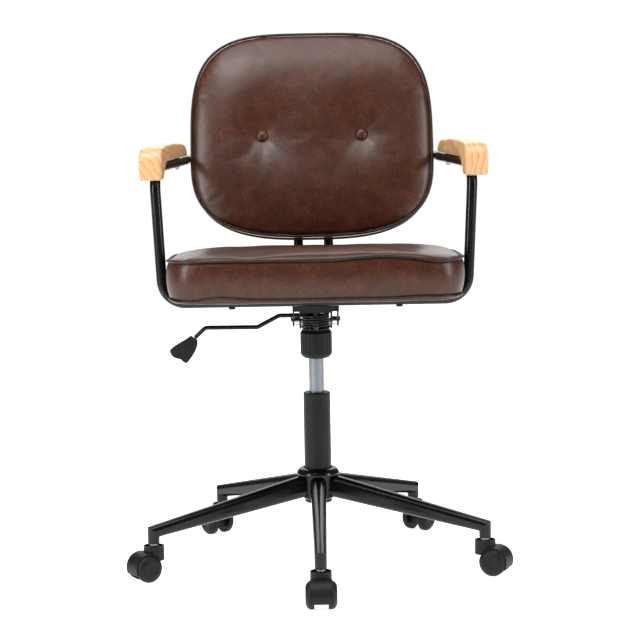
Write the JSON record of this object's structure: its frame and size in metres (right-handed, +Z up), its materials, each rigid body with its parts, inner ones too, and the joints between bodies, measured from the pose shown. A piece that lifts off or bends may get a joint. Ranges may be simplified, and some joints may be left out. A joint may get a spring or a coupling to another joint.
{
  "type": "swivel office chair",
  "caption": "Low-back swivel chair: leather box seat and buttoned back, tube arms with bent wooden caps, gas lift, tilt mechanism and star base on twin-wheel casters.",
  "frame": {"origin": "centre of the base on the floor, below the lift axis", "axes": "+Z up along the gas lift, -Y the way the sitter faces, +X to the sitter's left"},
  "size_m": [0.7067, 0.7192, 0.9689],
  "materials": {
    "black_steel": "gloss powder coat",
    "bright_steel": "satin zinc",
    "black_nylon": "fine moulded grain",
    "brown_leather": "waxed pull-up, semi-gloss",
    "natural_wood": "clear satin lacquer",
    "plywood": "raw",
    "dust_cover": "non-woven, matte"
  },
  "bodies": {
    "base": {"base_hub": "black_steel", "hub_collar": "black_steel", "base_leg_1": "black_steel", "base_leg_2": "black_steel", "base_leg_3": "black_steel", "base_leg_4": "black_steel", "base_leg_5": "black_steel", "caster_sleeves": "black_nylon", "lift_outer_tube": "black_steel", "lift_bushing": "black_nylon", "lift_thrust_bearing": "bright_steel", "lift_clip": "bright_steel"},
    "piston_rod": {"lift_piston_rod": "bright_steel"},
    "mechanism": {"lift_cylinder": "bright_steel", "tilt_housing": "black_steel", "pivot_pin": "bright_steel"},
    "release_pin": {"release_pin": "bright_steel"},
    "height_lever": {"lever_rod": "black_steel", "lever_paddle": "black_nylon"},
    "seat": {"seat_plate": "black_steel", "tension_bolt": "bright_steel", "tension_spring": "black_steel", "seat_board": "plywood", "seat_cover": "dust_cover", "seat_cushion": "brown_leather", "seat_bolts": "bright_steel", "arm_tube_left": "black_steel", "arm_tube_right": "black_steel", "arm_pad_left": "natural_wood", "arm_pad_right": "natural_wood", "arm_screws": "bright_steel", "back_tubes": "black_steel", "back_mount_plate": "black_steel", "back_shell": "brown_leather", "back_cushion": "brown_leather", "back_buttons": "brown_leather", "back_screws": "bright_steel"},
    "tension_nut": {"spring_washer": "bright_steel"},
    "tension_knob": {"tension_knob": "black_nylon"},
    "caster_1": {"caster_hood_1": "black_nylon", "caster_pins_1": "bright_steel"},
    "wheel_1_a": {"caster_wheel_1_a": "black_nylon"},
    "wheel_1_b": {"caster_wheel_1_b": "black_nylon"},
    "caster_2": {"caster_hood_2": "black_nylon", "caster_pins_2": "bright_steel"},
    "wheel_2_a": {"caster_wheel_2_a": "black_nylon"},
    "wheel_2_b": {"caster_wheel_2_b": "black_nylon"},
    "caster_3": {"caster_hood_3": "black_nylon", "caster_pins_3": "bright_steel"},
    "wheel_3_a": {"caster_wheel_3_a": "black_nylon"},
    "wheel_3_b": {"caster_wheel_3_b": "black_nylon"},
    "caster_4": {"caster_hood_4": "black_nylon", "caster_pins_4": "bright_steel"},
    "wheel_4_a": {"caster_wheel_4_a": "black_nylon"},
    "wheel_4_b": {"caster_wheel_4_b": "black_nylon"},
    "caster_5": {"caster_hood_5": "black_nylon", "caster_pins_5": "bright_steel"},
    "wheel_5_a": {"caster_wheel_5_a": "black_nylon"},
    "wheel_5_b": {"caster_wheel_5_b": "black_nylon"}
  },
  "joints": [
    {"name": "seat_swivel", "type": "hinge", "parent": "base", "child": "piston_rod", "pos_m": [0, 0, 0.2], "axis": [0, 0, 1], "continuous": true},
    {"name": "seat_height", "type": "slide", "parent": "piston_rod", "child": "mechanism", "axis": [0, 0, 1], "range_m": [-0.06, 0.04]},
    {"name": "seat_tilt", "type": "hinge", "parent": "mechanism", "child": "seat", "pos_m": [0, -0.032, 0.462], "axis": [-1, 0, 0], "range_deg": [0, 10], "stiffness_Nm_per_rad": 200, "springref_deg": -11.46, "deforming": ["tension_spring"]},
    {"name": "height_lever", "type": "hinge", "parent": "mechanism", "child": "height_lever", "pos_m": [-0.0285, 0, 0.4682], "axis": [0, 1, 0], "range_deg": [0, 6], "stiffness_Nm_per_rad": 1, "springref_deg": -11.46},
    {"name": "release_pin", "type": "slide", "parent": "mechanism", "child": "release_pin", "axis": [0, 0, -1], "range_m": [0, 0.0036]},
    {"name": "tension_travel", "type": "slide", "parent": "seat", "child": "tension_nut", "axis": [0, 0, 1], "range_m": [-0.006, 0.003]},
    {"name": "tension_knob", "type": "hinge", "parent": "tension_nut", "child": "tension_knob", "pos_m": [0, -0.08, 0.43], "axis": [0, 0, 1], "range_deg": [-1450, 730]},
    {"name": "caster_1_swivel", "type": "hinge", "parent": "base", "child": "caster_1", "pos_m": [0, -0.318, 0.06], "axis": [0, 0, 1], "continuous": true},
    {"name": "wheel_1_a_spin", "type": "hinge", "parent": "caster_1", "child": "wheel_1_a", "pos_m": [0, -0.338, 0.025], "axis": [1, 0, 0], "continuous": true},
    {"name": "wheel_1_b_spin", "type": "hinge", "parent": "caster_1", "child": "wheel_1_b", "pos_m": [0, -0.338, 0.025], "axis": [1, 0, 0], "continuous": true},
    {"name": "caster_2_swivel", "type": "hinge", "parent": "base", "child": "caster_2", "pos_m": [0.30244, -0.09827, 0.06], "axis": [0, 0, 1], "continuous": true},
    {"name": "wheel_2_a_spin", "type": "hinge", "parent": "caster_2", "child": "wheel_2_a", "pos_m": [0.32071, -0.1064, 0.025], "axis": [0.4067, 0.9135, 0], "continuous": true},
    {"name": "wheel_2_b_spin", "type": "hinge", "parent": "caster_2", "child": "wheel_2_b", "pos_m": [0.32071, -0.1064, 0.025], "axis": [0.4067, 0.9135, 0], "continuous": true},
    {"name": "caster_3_swivel", "type": "hinge", "parent": "base", "child": "caster_3", "pos_m": [0.18692, 0.25727, 0.06], "axis": [0, 0, 1], "continuous": true},
    {"name": "wheel_3_a_spin", "type": "hinge", "parent": "caster_3", "child": "wheel_3_a", "pos_m": [0.19867, 0.27345, 0.025], "axis": [-0.809, 0.5878, 0], "continuous": true},
    {"name": "wheel_3_b_spin", "type": "hinge", "parent": "caster_3", "child": "wheel_3_b", "pos_m": [0.19867, 0.27345, 0.025], "axis": [-0.809, 0.5878, 0], "continuous": true},
    {"name": "caster_4_swivel", "type": "hinge", "parent": "base", "child": "caster_4", "pos_m": [-0.18692, 0.25727, 0.06], "axis": [0, 0, 1], "continuous": true},
    {"name": "wheel_4_a_spin", "type": "hinge", "parent": "caster_4", "child": "wheel_4_a", "pos_m": [-0.19867, 0.27345, 0.025], "axis": [-0.809, -0.5878, 0], "continuous": true},
    {"name": "wheel_4_b_spin", "type": "hinge", "parent": "caster_4", "child": "wheel_4_b", "pos_m": [-0.19867, 0.27345, 0.025], "axis": [-0.809, -0.5878, 0], "continuous": true},
    {"name": "caster_5_swivel", "type": "hinge", "parent": "base", "child": "caster_5", "pos_m": [-0.30244, -0.09827, 0.06], "axis": [0, 0, 1], "continuous": true},
    {"name": "wheel_5_a_spin", "type": "hinge", "parent": "caster_5", "child": "wheel_5_a", "pos_m": [-0.3194, -0.10887, 0.025], "axis": [0.5299, -0.848, 0], "continuous": true},
    {"name": "wheel_5_b_spin", "type": "hinge", "parent": "caster_5", "child": "wheel_5_b", "pos_m": [-0.3194, -0.10887, 0.025], "axis": [0.5299, -0.848, 0], "continuous": true}
  ],
  "couplings": [
    {"joint": "release_pin", "follows": "height_lever", "m_per_rad": 0.0325},
    {"joint": "tension_knob", "follows": "tension_travel", "rad_per_m": 4188.8}
  ]
}
